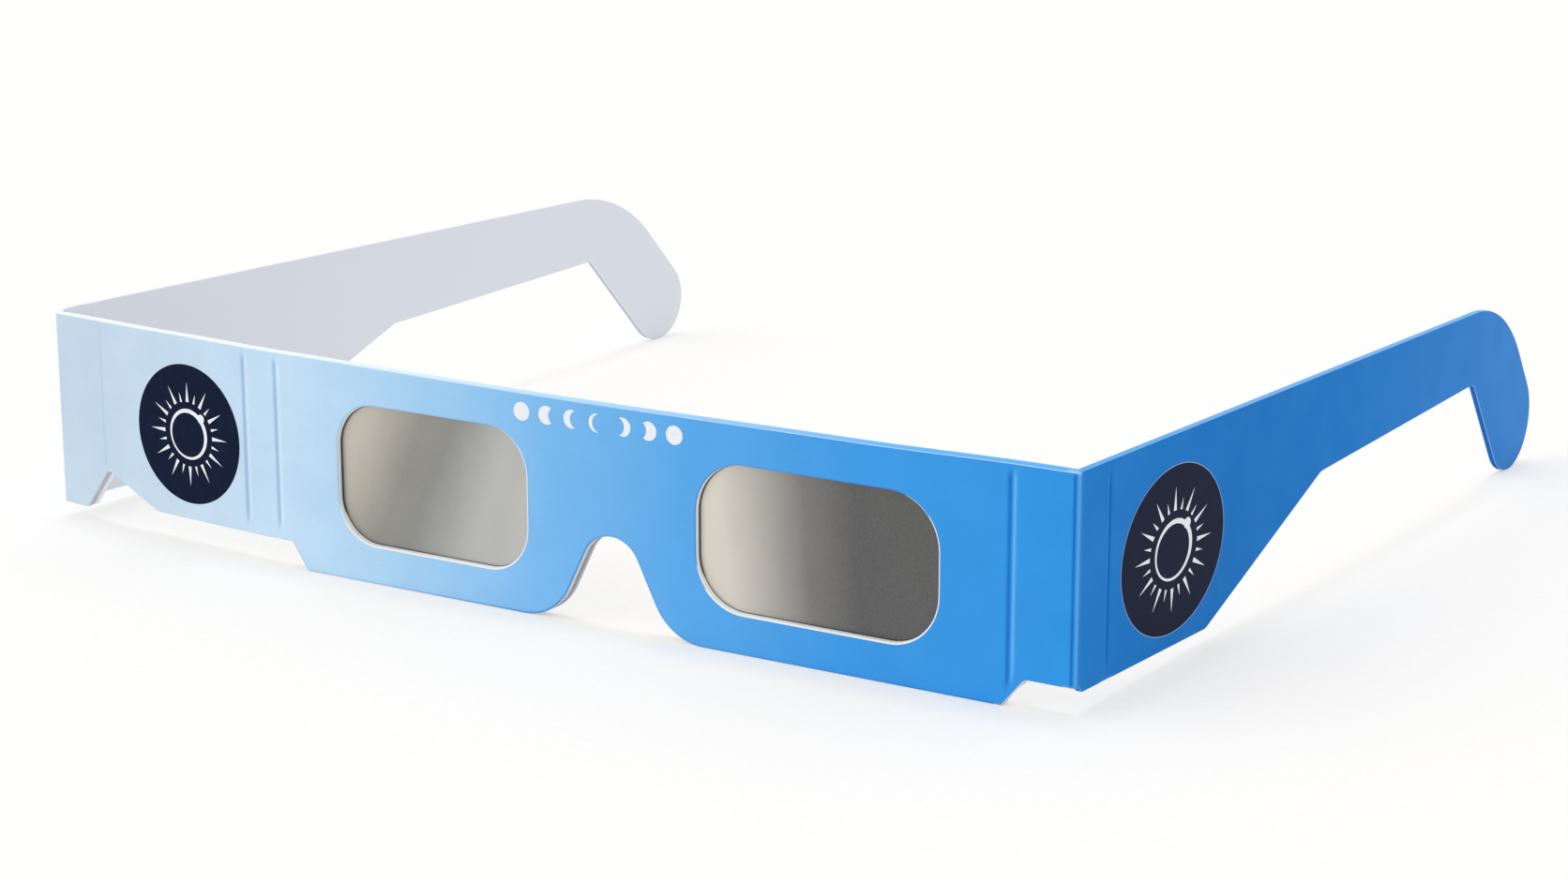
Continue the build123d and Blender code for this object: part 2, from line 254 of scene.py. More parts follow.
INK = [
    (-280, "C6DBED"),
    (-122, "C8DCED"),
    (-95, "CBE0F3"),
    (-68, "C8E4FB"),
    (-46, "B0D8F8"),
    (-14, "7EBFF4"),
    (12, "5FAEEF"),
    (44, "429EEA"),
    (80.2, "3499E7"),
    (81.1, "1880D4"),
    (130, "0879CC"),
    (175, "0C7CD0"),
    (215, "2483D6"),
    (275, "3E8EDC"),
]


def ink(tree, across, height):
    """Printed colour: pale at the left, running through sky blue to a deep blue at the right, with painted light near
    the floor.
    """
    tilt = tree.math("MULTIPLY", tree.math("SUBTRACT", height, 19), -0.09)
    inside = tree.range(across, -72, -66)
    before = tree.range(across, 60, 70, 1, 0)
    lean = tree.times(inside, before, tilt)
    colour = tree.ramp(tree.math("ADD", across, lean), INK)
    # Painted light: the print is lifted near the floor, where the floor's shade falls
    painted_floor_light = tree.times(tree.range(height, 0, 13, 0.8, 0, "LINEAR"), tree.range(across, 79, 81, 1, 0))
    return tree.mix(painted_floor_light, colour, tree.tint(colour, (1.16, 1.12, 1.08, 1)))


def printed(tree):
    """Satin printed card: gradient ink, faint mottle, fibre, and painted shade and highlight at folds, edges and the
    folded top.
    """
    place, across, height, depth = sheet_place(tree)
    _, rub_and_highlight, pressed = sheet_shading(tree)
    colour = ink(tree, across, height)
    cloud = tree.noise(place, 0.11, 3)
    fibre = tree.noise(tree.stretch(place, (1, 2.4, 1)), 2.6, 5, 0.65)
    speck = tree.noise(place, 7.5, 2)
    shade = tree.math("ADD", tree.range(cloud, 0.3, 0.7, -0.4, 0.4), tree.range(fibre, 0.25, 0.75, -0.6, 0.6))
    colour = tree.mix(tree.range(shade, -1, 1), colour, tree.tint(colour, linear("F4F6F8")))
    colour = tree.mix(tree.range(speck, 0.68, 0.8, 0, 0.03), colour, linear("FFFFFF"))

    # Folds and edges: painted shade in grooves and on edges turned from the light, and a ragged painted highlight,
    # partly worn ink, where they face it
    shadow = tree.ramp(across, [(-124, "CDD8E4"), (-60, "C9D8E8"), (30, "96C2E0"), (90, "8CBBDC")])
    colour = tree.mix(pressed, colour, tree.tint(colour, shadow))
    ragged = tree.range(tree.noise(place, 1.6, 3, 0.6), 0.3, 0.6, 0.85, 1.0)
    stops = [(-124, "E6F3FF"), (-60, "E0F3FF"), (10, "B4E2FF"), (70, "92D4FF"), (280, "92CCFF")]
    colour = tree.mix(tree.times(rub_and_highlight, ragged), colour, tree.ramp(across, stops))

    # Painted highlight on the folded top, and a thin line along its lip, partly cracked ink and partly painted
    # highlight
    lip = FRONT_TOP - LIP
    front = tree.times(tree.range(across, -124.5, -124.4), tree.range(across, 80.9, 81, 1, 0))
    behind = tree.range(depth, SKIN - 0.27, SKIN - 0.24, 1, 0)
    above = tree.math("MAXIMUM", behind, tree.range(height, lip, lip + 0.07))
    painted_top_light = tree.times(front, above, tree.range(height, 35, 35.1))
    stops = [(-124, "F6FAFE"), (-65, "F2FAFF"), (-35, "D9EFFF"), (-5, "AFDAFC"), (25, "8CC9F9")]
    stops += [(53, "60B5F8"), (81, "59B3F7")]
    colour = tree.mix(tree.times(painted_top_light, 0.95), colour, tree.ramp(across, stops))
    under = tree.range(height, lip - 0.13, lip - 0.06)
    over = tree.range(height, lip + 0.01, lip + 0.06, 1, 0)
    facing = tree.times(front, tree.range(depth, 0.3, 0.4))
    line = tree.times(facing, under, over, tree.range(across, -40, 40, 0.35, 0.9))
    crack = tree.range(tree.noise(place, 1.1, 3, 0.6), 0.3, 0.55, 0.8, 1.0)
    pale = tree.ramp(across, [(-124, "F8FCFF"), (-30, "E4F4FF"), (20, "D4ECFF"), (81, "CDE8FF")])
    colour = tree.mix(tree.times(line, crack), colour, pale)

    # Temples: a painted highlight where the print meets the softened cut edge
    strap = tree.math("SUBTRACT", 1.0, front)
    rim = tree.times(strap, tree.range(depth, SKIN - 0.03, SKIN - 0.012, 0.75, 0))
    colour = tree.mix(rim, colour, tree.ramp(across, [(-124, "F6F9FD"), (81, "86BEEE")]))
    grain = tree.math("ADD", tree.times(fibre, 0.7), tree.times(speck, 0.3))
    return surface(tree, colour, tree.range(cloud, 0.3, 0.7, 0.42, 0.5), 0.04, grain, 0.00002, 0.5)


def plain(tree):
    """Uncoated inside of the card: cool white with pulp fibres."""
    place, across, _, depth = sheet_place(tree)
    _, rub_and_highlight, pressed = sheet_shading(tree)
    cloud = tree.noise(place, 0.12, 3)
    fibre = tree.noise(tree.stretch(place, (0.6, 2.2, 1)), 3.2, 6, 0.7)
    speck = tree.noise(place, 5.0, 2)
    colour = tree.ramp(across, [(-280, "E4E9F3"), (-120, "E6EBF4"), (-70, "E4E8F0"), (280, "E4E8F0")])
    colour = tree.mix(tree.range(cloud, 0.3, 0.7, 0, 0.1), colour, linear("E8ECF3"))
    colour = tree.mix(tree.range(fibre, 0.35, 0.7, 0, 0.2), colour, linear("D2D8E3"))
    colour = tree.mix(tree.range(speck, 0.68, 0.8, 0, 0.25), colour, linear("C6CBD6"))
    # Painted shade, dotted, along pressed lines; painted highlight on upper edges and along the face's softened rim
    dots = tree.range(tree.noise(place, 1.1, 2), 0.42, 0.56)
    colour = tree.mix(tree.times(pressed, dots), colour, linear("8F95A4"))
    colour = tree.mix(rub_and_highlight, colour, linear("F8F9FC"))
    colour = tree.mix(tree.range(depth, -FACE + 0.012, -FACE + 0.03, 0, 0.8), colour, linear("F8FAFD"))
    return surface(tree, colour, tree.range(fibre, 0.3, 0.7, 0.62, 0.8), 0.15, fibre, 0.00004, 0.6)


def cut_edge(tree):
    """Cut edge of the board: layered pulp, with the ink's blue drawn over it towards the right, painted highlight on
    its upper and window edges and painted shade below.
    """
    place, across, height, depth = sheet_place(tree)
    wear_and_shading, rub_and_highlight, shaded = sheet_shading(tree)
    core = tree.ramp(across, [(-280, "EEF1F6"), (-100, "EDF0F4"), (-60, "F1F0ED"), (60, "F3F2EF"), (280, "E4E6E9")])
    blue = tree.mix(0.5, ink(tree, across, height), linear("1B74C6"))
    colour = tree.mix(tree.range(across, 80.2, 81.1, 0, 0.97), core, blue)
    layer = tree.noise(tree.stretch(place, (0.25, 0.25, 5)), 1.3, 4, 0.7)
    fibre = tree.noise(place, 5.5, 4, 0.7)
    colour = tree.mix(tree.range(layer, 0.35, 0.65, 0.2, 0), colour, linear("B5B8BE"), "MULTIPLY")
    # Painted highlight where the edge faces up or rims a window, partly worn pulp, and painted shade on the edges
    # below
    stops = [(-124, "FBFCFE"), (60, "FAFBFC"), (72, "62B2F4"), (130, "79B9F0"), (280, "88BFF0")]
    colour = tree.mix(rub_and_highlight, colour, tree.ramp(across, stops))
    stops = [(-280, "A2A9B8"), (-124, "A2A9B8"), (-70, "9AA0AC"), (70, "9AA0AC"), (81, "4E93CE"), (280, "4E93CE")]
    colour = tree.mix(shaded, colour, tree.tint(colour, tree.ramp(across, stops)))

    # Painted shade in the gap between the front's two plies
    panel = tree.times(tree.range(across, -70.2, -70), tree.range(across, 70, 70.2, 1, 0))
    ply_gap_shade = tree.times(panel, tree.range(depth, -0.34, -0.14, 1, 0), tree.range(wear_and_shading, 0.68, 0.95, 1, 0))
    ply_gap_shade = tree.times(ply_gap_shade, tree.range(depth, -1.1, -1.0), 0.88)
    colour = tree.mix(ply_gap_shade, colour, linear("27324A"))

    # Painted highlights along the corners of the temples' cut edges
    edge_corner_highlight = tree.times(tree.math("SUBTRACT", 1.0, panel), tree.range(tree.math("ABSOLUTE", depth), 0.36, 0.44))
    edge_corner_highlight = tree.times(edge_corner_highlight, tree.math("ADD", 0.3, tree.times(shaded, 0.9)))
    colour = tree.mix(edge_corner_highlight, colour, tree.ramp(across, [(-124, "F6F9FD"), (70, "F6F9FD"), (81, "86BEEE")]))
    grain = tree.math("ADD", layer, tree.times(fibre, 0.6))
    return surface(tree, colour, tree.range(fibre, 0.3, 0.7, 0.6, 0.78), 0.06, grain, 0.00005, 0.7)


FILM_REFLECTION_STOPS = {
    "left": [(-62, "D0C9BD"), (-53, "B5B0A6"), (-45, "929089"), (-38, "8F8F8B"), (-26, "B8B8B6"), (-14, "C1C0BD")],
    "right": [(10, "E6DED2"), (19, "D6D0C5"), (28, "A8A59F"), (34, "7C7B78"), (43, "5E5D5D"), (60, "5F5F5E")],
}
FILM_REFLECTION_LEAN = {"left": -0.42, "right": 0.1}


def film(side):
    """Metallised filter film: grey, slightly wavy, with a painted reflection: a warm pale end and a dark blotch."""

    def make(tree):
        place = tree.add("ShaderNodeTexCoord")[3]
        parts = tree.add("ShaderNodeSeparateXYZ", {0: place})
        across = tree.math("SUBTRACT", tree.times(parts[0], 1000), MAIN_MIDDLE[0])
        rise = tree.math("SUBTRACT", tree.times(parts[2], 1000), WINDOW_MIDDLE)
        wander = tree.noise(tree.stretch(place, (40, 40, 22)), 1.0, 2)
        shift = tree.times(tree.math("SUBTRACT", wander, 0.5), 3.5)
        along = tree.math("ADD", tree.math("ADD", across, tree.times(rise, FILM_REFLECTION_LEAN[side])), shift)
        colour = tree.ramp(along, FILM_REFLECTION_STOPS[side])
        grain = tree.noise(place, 2600, 3, 0.6)
        streak = tree.noise(tree.stretch(place, (150, 150, 60)), 1.0, 3, 0.5)
        colour = tree.mix(tree.range(grain, 0.3, 0.7, 0, 0.025), colour, linear("FFFFFF"))
        colour = tree.mix(tree.range(streak, 0.35, 0.7, 0, 0.05), colour, linear("8C8B89"), "MULTIPLY")

        # Painted shade right beside the window's wall: distance from a rounded rectangle
        middle, half, rounding, _ = WINDOWS[side]
        x = tree.math("SUBTRACT", tree.math("ABSOLUTE", tree.math("SUBTRACT", across, middle)), half - rounding)
        z = tree.math("SUBTRACT", tree.math("ABSOLUTE", rise), WINDOW_HALF - rounding)
        over_x, over_z = tree.math("MAXIMUM", x, 0), tree.math("MAXIMUM", z, 0)
        corner = tree.math("SQRT", tree.math("ADD", tree.times(over_x, over_x), tree.times(over_z, over_z)))
        inside = tree.math("MINIMUM", tree.math("MAXIMUM", x, z), 0)
        rim = tree.math("SUBTRACT", tree.math("ADD", corner, inside), rounding)
        colour = tree.mix(tree.range(rim, -0.2, -0.06, 0, 0.7), colour, linear("2C3347"))
        wave = tree.noise(tree.stretch(place, (60, 60, 40)), 1.0, 1)
        return {
            "Base Color": colour,
            "Metallic": 0.8,
            "Roughness": tree.range(streak, 0.3, 0.7, 0.38, 0.46),
            "Normal": tree.bump(wave, 0.0008, 0.15),
        }

    return make


def glue(tree):
    """Dry clear adhesive, coloured dark as painted shade in its narrow gap, with uneven thickness."""
    place = tree.add("ShaderNodeTexCoord")[3]
    blot = tree.noise(place, 420, 4)
    colour = tree.mix(tree.range(blot, 0.3, 0.7), linear("4C5464"), linear("6A7180"))
    return surface(tree, colour, tree.range(blot, 0.3, 0.7, 0.35, 0.6), 0.5, blot, 0.00005, 0.6)


def tape(tree):
    """Matte paper tape with a fine crepe across it."""
    place = tree.add("ShaderNodeTexCoord")[3]
    crepe = tree.noise(tree.stretch(place, (1400, 300, 300)), 1.0, 4)
    colour = tree.mix(tree.range(crepe, 0.3, 0.7), linear("C9C4B6"), linear("D9D5C9"))
    return surface(tree, colour, 0.75, 0.5, crepe, 0.00004, 0.6)


def disc_ink(tree):
    """Solid navy ink, barely uneven where the press laid it down."""
    place, *_ = sheet_place(tree)
    blot = tree.noise(place, 0.5, 5, 0.6)
    grain = tree.noise(place, 6.0, 4, 0.6)
    colour = tree.mix(tree.range(blot, 0.3, 0.7), linear("0F1931"), linear("151F38"))
    colour = tree.mix(tree.range(grain, 0.62, 0.8, 0, 0.05), colour, linear("4A5A78"))
    return surface(tree, colour, tree.range(blot, 0.3, 0.7, 0.42, 0.52), 0.03, grain, 0.00001, 0.5)


def white_ink(tree):
    """Opaque white ink with the card's grain faintly through it."""
    place, *_ = sheet_place(tree)
    grain = tree.noise(place, 5.0, 4, 0.6)
    colour = tree.mix(tree.range(grain, 0.35, 0.7), linear("F4F7FB"), linear("E2E8F0"))
    return surface(tree, colour, 0.5, 0.5, grain, 0.00001, 0.5)


def halo_ink(tree):
    """Thin pale rim where the disc's ink stops short of the card's print."""
    place, across, height, _ = sheet_place(tree)
    grain = tree.noise(place, 5.0, 4, 0.6)
    colour = tree.mix(tree.range(grain, 0.3, 0.7, 0.1, 0.3), ink(tree, across, height), linear("FFFFFF"))
    return surface(tree, colour, 0.48, 0.5, grain, 0.00001, 0.5)


PRINTED = finish_material("printed_satin", printed)
PLAIN = finish_material("plain_pulp", plain)
EDGE = finish_material("cut_edge", cut_edge)
FILMS = {side: finish_material(f"{side}_film", film(side)) for side in WINDOWS}
GLUE = finish_material("dry_glue", glue)
TAPE = finish_material("paper_tape", tape)
NAVY = finish_material("navy_ink", disc_ink)
WHITE = finish_material("white_ink", white_ink)
HALO = finish_material("pale_rim", halo_ink)
CARD_MATERIALS = (PRINTED, PLAIN, EDGE)


# Mesh helpers


def make_object(name, bm, materials, angle=35):
    """Object from a bmesh, smooth except along edges sharper than an angle."""
    bmesh.ops.recalc_face_normals(bm, faces=bm.faces[:])
    mesh = bpy.data.meshes.new(name)
    bm.to_mesh(mesh)
    bm.free()
    for material in materials:
        mesh.materials.append(material)
    obj = bpy.data.objects.new(name, mesh)
    scene.collection.objects.link(obj)
    mesh.shade_smooth()
    mesh.set_sharp_from_angle(angle=radians(angle))
    return obj


def keep_attributes(bm, values):
    """Store each vertex's place on the sheet and its painted highlight and shade, partly worn ink, in the mesh."""
    sheet = bm.verts.layers.float_vector.new("sheet")
    wear_and_shading = bm.verts.layers.float.new("wear_and_shading")
    for vert in bm.verts:
        place, rub_and_shading = values(vert)
        vert[sheet] = place
        vert[wear_and_shading] = rub_and_shading


def settle(obj, nodes):
    """Even out the shading and hide the plain nodes that the piece stands for, if any."""
    modifier = obj.modifiers.new("even_normals", "WEIGHTED_NORMAL")
    modifier.keep_sharp = True
    modifier.weight = 100
    if nodes:
        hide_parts(*nodes)
    return obj


def near_window(place, rims, reach=12.3):
    """Whether a place on the sheet is in a window or right beside it."""
    return any(abs(place.x - x) < wide and abs(place.y - WINDOW_MIDDLE) < reach for x, wide in rims)


def edge_shading(place, normal, rims):
    """How pale or dark a cut edge is: painted highlight where it faces up or rims a window, painted shade below."""
    if near_window(place, rims):
        return 0.3 + 0.7 * fade(normal.z, 0, 0.6)
    if rims:
        return -0.2
    if place.y < 1.5:
        return -0.55
    return 0.85 if normal.z > 0.35 else -0.6


def rim_shade(place, rims):
    """How far the print is darkened right at its cut outline: most round the nose arch."""
    if near_window(place, rims):
        return 0.0
    if rims and abs(place.x - NOSE_AT) < 20 and place.y < 20:
        return -0.85 * fade(NOSE_AT - place.x, 1, 6) - 0.25
    return -0.4 if rims and place.y < 6 else 0.0


def whole(bm):
    """All of a bmesh's geometry."""
    return bm.verts[:] + bm.edges[:] + bm.faces[:]


def parts_of(faces):
    """Faces with their corners and edges."""
    verts = dict.fromkeys(v for f in faces for v in f.verts)
    edges = dict.fromkeys(e for f in faces for e in f.edges)
    return [*verts, *edges, *faces]


def cut(bm, geom, place, normal, **settings):
    """Split geometry along a plane."""
    bmesh.ops.bisect_plane(bm, geom=geom, plane_co=place, plane_no=normal, dist=1e-4, **settings)


def shape_top(bm, panel):
    """Turn the square folded top into a small lip and a crown that falls away behind, with its slight dip."""
    low = FRONT_TOP - FOLD_ROUND - 0.01

    def top_part():
        return parts_of([f for f in bm.faces if all(v.co.z > low for v in f.verts)])

    for depth in TOP_DEPTHS[:4]:
        cut(bm, top_part(), panel.at(0, 0, depth), panel.out)
    places = [panel.sheet(v.co).x for v in bm.verts]
    first, last = min(places), max(places)
    count = max(1, round((last - first) / 5))
    for i in range(1, count):
        cut(bm, top_part(), panel.at(first + (last - first) * i / count, 0, 0), panel.along)
    for vert in bm.verts:
        place = panel.sheet(vert.co)
        if place.y < low:
            continue
        top = fold_height(place.x)
        if place.z > SKIN - 0.005:
            depth, height = SKIN, top - LIP
        elif place.z > FACE - FOLD_ROUND - 0.01:
            depth = SKIN - LIP + LIP * (place.z - FACE + FOLD_ROUND) / FOLD_ROUND
            height = top - LIP + LIP * (place.y - FRONT_TOP + FOLD_ROUND) / FOLD_ROUND
        else:
            depth, height = place.z, top - crown(place.x, place.z)
        vert.co = panel.at(place.x, height, depth)
    bmesh.ops.remove_doubles(bm, verts=bm.verts[:], dist=0.004)


def card(name, node, panel, body, cuts, printed_face=True, folded=False, score=None, rims=()):
    """A flat piece of card cut back from its folds, with softened edges and finishes by side."""
    bm = bmesh.new()
    bm.from_mesh(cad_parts[node].data)
    bmesh.ops.remove_doubles(bm, verts=bm.verts[:], dist=1e-6)
    bmesh.ops.dissolve_limit(bm, angle_limit=radians(0.3), verts=bm.verts[:], edges=bm.edges[:])
    skin = FACE - SKIN
    for vert in bm.verts:
        vert.co /= MM
        if printed_face and panel.sheet(vert.co).z > FACE - 0.005:
            vert.co -= panel.out * skin
    if folded:
        shape_top(bm, panel)
    bm.normal_update()
    if printed_face:
        print_faces = [f for f in bm.faces if all(panel.sheet(v.co).z > SKIN - 0.005 for v in f.verts)]
        bmesh.ops.inset_region(bm, faces=print_faces, thickness=0.5, use_boundary=True, use_even_offset=True)
    planes = []
    for place, side in cuts:
        planes.append((panel.at(place, 0, 0), panel.along * side))
        cut(bm, whole(bm), *planes[-1], clear_inner=True)
        bmesh.ops.holes_fill(bm, edges=[edge for edge in bm.edges if edge.is_boundary], sides=0)
    if score:
        across, low = score
        for step in (-0.35, 0, 0.35):
            cut(bm, whole(bm), panel.at(across + step, 0, 0), panel.along)
        for height in (low, low + 1.5, FRONT_TOP - 2.6, FRONT_TOP - 1.2):
            faces = [f for f in bm.faces if panel.sheet(f.calc_center_median()).z > FACE - 0.1]
            cut(bm, parts_of(faces), Vector((0, 0, height)), Vector((0, 0, 1)))

    def on_cut(element):
        return any(all(abs((v.co - at).dot(towards)) < 1e-3 for v in element.verts) for at, towards in planes)

    def on_rim(edge):
        places = [panel.sheet(v.co) for v in edge.verts]
        return all(near_window(place, rims, 12.4) and place.z > SKIN - 0.005 for place in places)

    bm.normal_update()
    sharp = [e for e in bm.edges if len(e.link_faces) == 2 and e.calc_face_angle() > radians(40) and not on_cut(e)]
    rim_edges = [e for e in sharp if on_rim(e)]
    rim_set = set(rim_edges)
    others = [e for e in sharp if e not in rim_set]
    for edges, width, segments in ((others, SOFT, 2), (rim_edges, RIM_ROUND, 3)):
        settings = {"offset_type": "OFFSET", "profile": 0.5, "affect": "EDGES", "clamp_overlap": True}
        bmesh.ops.bevel(bm, geom=edges, offset=width, segments=segments, **settings)

    def on_top(place):
        """Whether a place is on the folded top or on the cap's other sides."""
        if not folded:
            return False
        on_cap = place.y > CAP_FLOOR - 0.01 and place.z < SKIN - 0.01
        return on_cap or place.y > fold_height(place.x) - LIP - 0.55

    def on_outline(vert):
        return any(abs(e.calc_face_angle(0)) > 0.2 and not on_cut(e) for e in vert.link_edges)

    def values(vert):
        """The vertex's place on the sheet and its painted highlight and shade, pressing the panel's own score on the
        way.
        """
        place = panel.sheet(vert.co)
        rub_and_shading = 0.0
        if on_top(place):
            place.y += FRONT_TOP - fold_height(place.x)
        elif near_window(place, rims, 12.4) and SKIN - RIM_PRINT < place.z < SKIN - 0.01:
            # Painted highlight on rim faces that turn up or to the left, painted shade on the others
            painted_light = max(fade(vert.normal.z, 0, 0.4), fade(-vert.normal.dot(panel.along), 0.05, 0.4))
            rub_and_shading = painted_light - 0.45 * (1 - painted_light)
        elif abs(place.z) < SKIN - 0.01 or STACK_BACK + 0.01 < place.z < GLUE_BACK - 0.01:
            rub_and_shading = edge_shading(place, vert.normal, rims)
        elif place.z > 0 and printed_face and on_outline(vert):
            rub_and_shading = rim_shade(place, rims)
        if score:
            across, low = score
            inward = fade(place.y, low, low + 1.5) * fade(FRONT_TOP - place.y, 1.2, 2.6)
            if place.z > SKIN - 0.01 and abs(place.x - across) < 0.1:
                vert.co -= panel.out * 0.1 * inward
                # Painted shade in the score's groove
                rub_and_shading = -0.22 * inward
        return place, rub_and_shading

    def finish_of(face):
        """Which of the card's three materials a face shows."""
        facing = face.normal.dot(panel.out)
        middle = panel.sheet(face.calc_center_median())
        if on_cut(face):
            return 2
        if folded and face.normal.z > 0.1 and middle.y > FRONT_TOP - 1.4:
            if middle.y > fold_height(middle.x) - LIP - crown(middle.x, middle.z):
                return 0
        if near_window(middle, rims, 12.4) and -FACE < middle.z < SKIN - 0.004:
            towards_left = -face.normal.dot(panel.along)
            return 2 if middle.z < SKIN - RIM_PRINT or face.normal.z > 0.15 or towards_left > 0.2 else 0
        if facing > 0.7:
            return 0 if printed_face else 1
        if facing < -0.7:
            return 2 if folded and middle.z < -2 else 1
        return 2

    bm.normal_update()
    keep_attributes(bm, values)
    for face in bm.faces:
        face.material_index = finish_of(face)
    for vert in bm.verts:
        vert.co *= MM
    obj = make_object(name, bm, CARD_MATERIALS)
    settle(obj, [node])
    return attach(obj, body)


def bend_over(obj, fold, panels, bodies, reach):
    """Bake a piece's placement into its mesh. The span across its fold that it works out, and the bodies, are handed
    on to a step that does not use them.
    """
    a, b = panels
    centre = Vector((*FOLDS[fold], 20))
    if abs(a.along.cross(b.along).z) < 0.1:
        start, end = centre - a.along * reach, centre + b.along * reach
    else:
        diagonal = (a.along + b.along).normalized()
        share = (reach - FACE) * a.along.dot(diagonal)
        start, end = centre - diagonal * share, centre + diagonal * share
    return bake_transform(obj, *bodies, start=tuple(start * MM), end=tuple(end * MM))


def strip(name, node, panels, bodies, reach, low, high, press, rub_and_shading, inner_shade=None):
    """Bent card along the fold of its node, pressed there, with painted shade and highlight along it. With no high
    edge, it has the folded top.
    """
    a, b = panels
    centre = Vector((*FOLDS[node], 0))
    bend = atan2(a.along.cross(b.along).z, a.along.dot(b.along))
    middle = b.sheet(centre).x
    flat, cap = abs(bend) < 0.1, high is None
    if flat:
        places = [-reach, -1.8] + [i * 0.15 for i in range(-8, 9)] + [1.8, reach]
        rays = [(u, None) for u in places]
    else:
        places = [-reach, -1.2, -1.05, -0.9, -0.75, -0.6, -0.45, -0.3, -0.15]
        rays = [(u, None) for u in places] + [(0, i / 8) for i in range(9)] + [(-u, None) for u in reversed(places)]
    mitre = abs(tan(bend / 2))
    half_turn = 0 if flat else FACE * abs(bend) / 2
    rings = []
    for u, turn in rays:
        if turn is None:
            panel = a if u <= 0 else b
            base, out = centre + panel.along * u, panel.out
            if flat:
                lean = min(0.5, max(-0.5, u))
                out = (a.out * (0.5 - lean) + b.out * (0.5 + lean)).normalized()
            s, v = u + (half_turn if u > 0 else -half_turn), u
        else:
            base, out = centre, Matrix.Rotation(bend * turn, 3, "Z") @ a.out
            s, v = (turn - 0.5) * 2 * half_turn, (turn - 0.5) * 0.28

        def inner(depth):
            """Point on the inner side at a depth, kept out of the mitre of the bend."""
            if flat:
                return base + out * depth
            at = -1 if (u < 0 or (turn is not None and turn < 0.5)) else 1
            side = a if at < 0 else b
            return centre + side.along * (at * max(abs(u), -depth * mitre)) + side.out * depth

        bottom, top = low(v), fold_height(middle + v) if cap else high(v)
        limit = STACK_BACK if cap else -FACE
        ring = []

        def put(depth, z, wear_and_shading, kind, inside=False, pressed=0.0):
            """Add a point, with its place on the sheet, its painted highlight and shade and its material, going round
            the section.
            """
            place = inner(depth) if inside else base + out * (depth - pressed)
            shown = z + (FRONT_TOP - top) * fade(z, top - 3, top - 1)
            ring.append((place + Vector((0, 0, z)), Vector((middle + s, shown, depth)), wear_and_shading, kind))

        put(SKIN - SOFT, bottom, 0, 2)
        put(SKIN, bottom + SOFT, 0.2, 0)
        heights = [bottom + d for d in (0.6, 1.1, 1.7, 2.4, 3.2, 4.4)]
        heights += [bottom + (top - bottom) * k / 4 for k in (1, 2, 3)]
        heights += [top - d for d in (5.2, 4.0, 3.1, 2.4, 1.8, 1.3, 0.9)] + [top - LIP]
        for z in sorted(heights):
            depth, wear_and_shading = press(s, z - bottom, top - z), rub_and_shading(s, z - bottom, top - z)
            put(SKIN, z, wear_and_shading, 0, pressed=depth)
        dip = press(s, 9, 9) * 0.35
        # Painted highlight along the rounded upper edge, except on the folded top
        rub_and_highlight = 0.0 if cap else 0.85
        for k in (1, 2, 3):
            angle = k * pi / 8
            round_highlight, round_kind = (rub_and_highlight, 2) if k > 1 and not cap else (0.0, 0)
            put(SKIN - dip - LIP * (1 - cos(angle)), top - LIP * (1 - sin(angle)), round_highlight, round_kind)
        put(SKIN - dip - LIP, top, rub_and_highlight, 0 if cap else 2)
        if cap:
            for depth in TOP_DEPTHS:
                put(depth, top - crown(middle + s, depth), 0.0, 2 if depth == STACK_BACK else 0, True)
            put(limit, CAP_FLOOR, 0, 2, True)
            put(-FACE, CAP_FLOOR, 0, 1, True)
        else:
            put(limit + LIP, top, rub_and_highlight, 2, True)
            for k in (1, 2, 3):
                angle = k * pi / 8
                put(limit + LIP * (1 - sin(angle)), top - LIP * (1 - cos(angle)), rub_and_highlight, 2, True)
            put(limit, top - LIP, 0, 1, True)
        for z in [z for z in sorted(heights, reverse=True) if z < (CAP_FLOOR if cap else top - LIP) - 0.3]:
            wear_and_shading = inner_shade(s, z - bottom, top - z) if inner_shade else 0
            put(-FACE, z, wear_and_shading, 1, True)
        put(-FACE, bottom + SOFT, 0, 1, True)
        put(-FACE + SOFT, bottom, 0, 2, True)
        rings.append(ring)

    bm = bmesh.new()
    sheet = bm.verts.layers.float_vector.new("sheet")
    wear_layer = bm.verts.layers.float.new("wear_and_shading")
    grid = []
    for ring in rings:
        line = []
        for place, at, wear_and_shading, kind in ring:
            vert = bm.verts.new(place * MM)
            vert[sheet], vert[wear_layer] = at, wear_and_shading
            line.append(vert)
        grid.append(line)
    count = len(rings[0])
    for i in range(len(rings) - 1):
        for j in range(count):
            k = (j + 1) % count
            corners = [grid[i][j], grid[i][k], grid[i + 1][k], grid[i + 1][j]]
            kinds = (rings[i][j][3], rings[i][k][3])
            bm.faces.new(corners).material_index = kinds[0] if kinds[0] == kinds[1] else 2
    for line in (grid[0], grid[-1]):
        bm.faces.new(line).material_index = 2
    bmesh.ops.remove_doubles(bm, verts=bm.verts[:], dist=2e-7)
    obj = make_object(name, bm, CARD_MATERIALS, 50)
    settle(obj, [node])
    return bend_over(obj, node, panels, bodies, reach)


# Cards, cut back from the folds that their strips bridge: how far, at a score, a corner and a strap's score
SCORE = 2.4
CORNER = 1.6
STRAP = 2.0

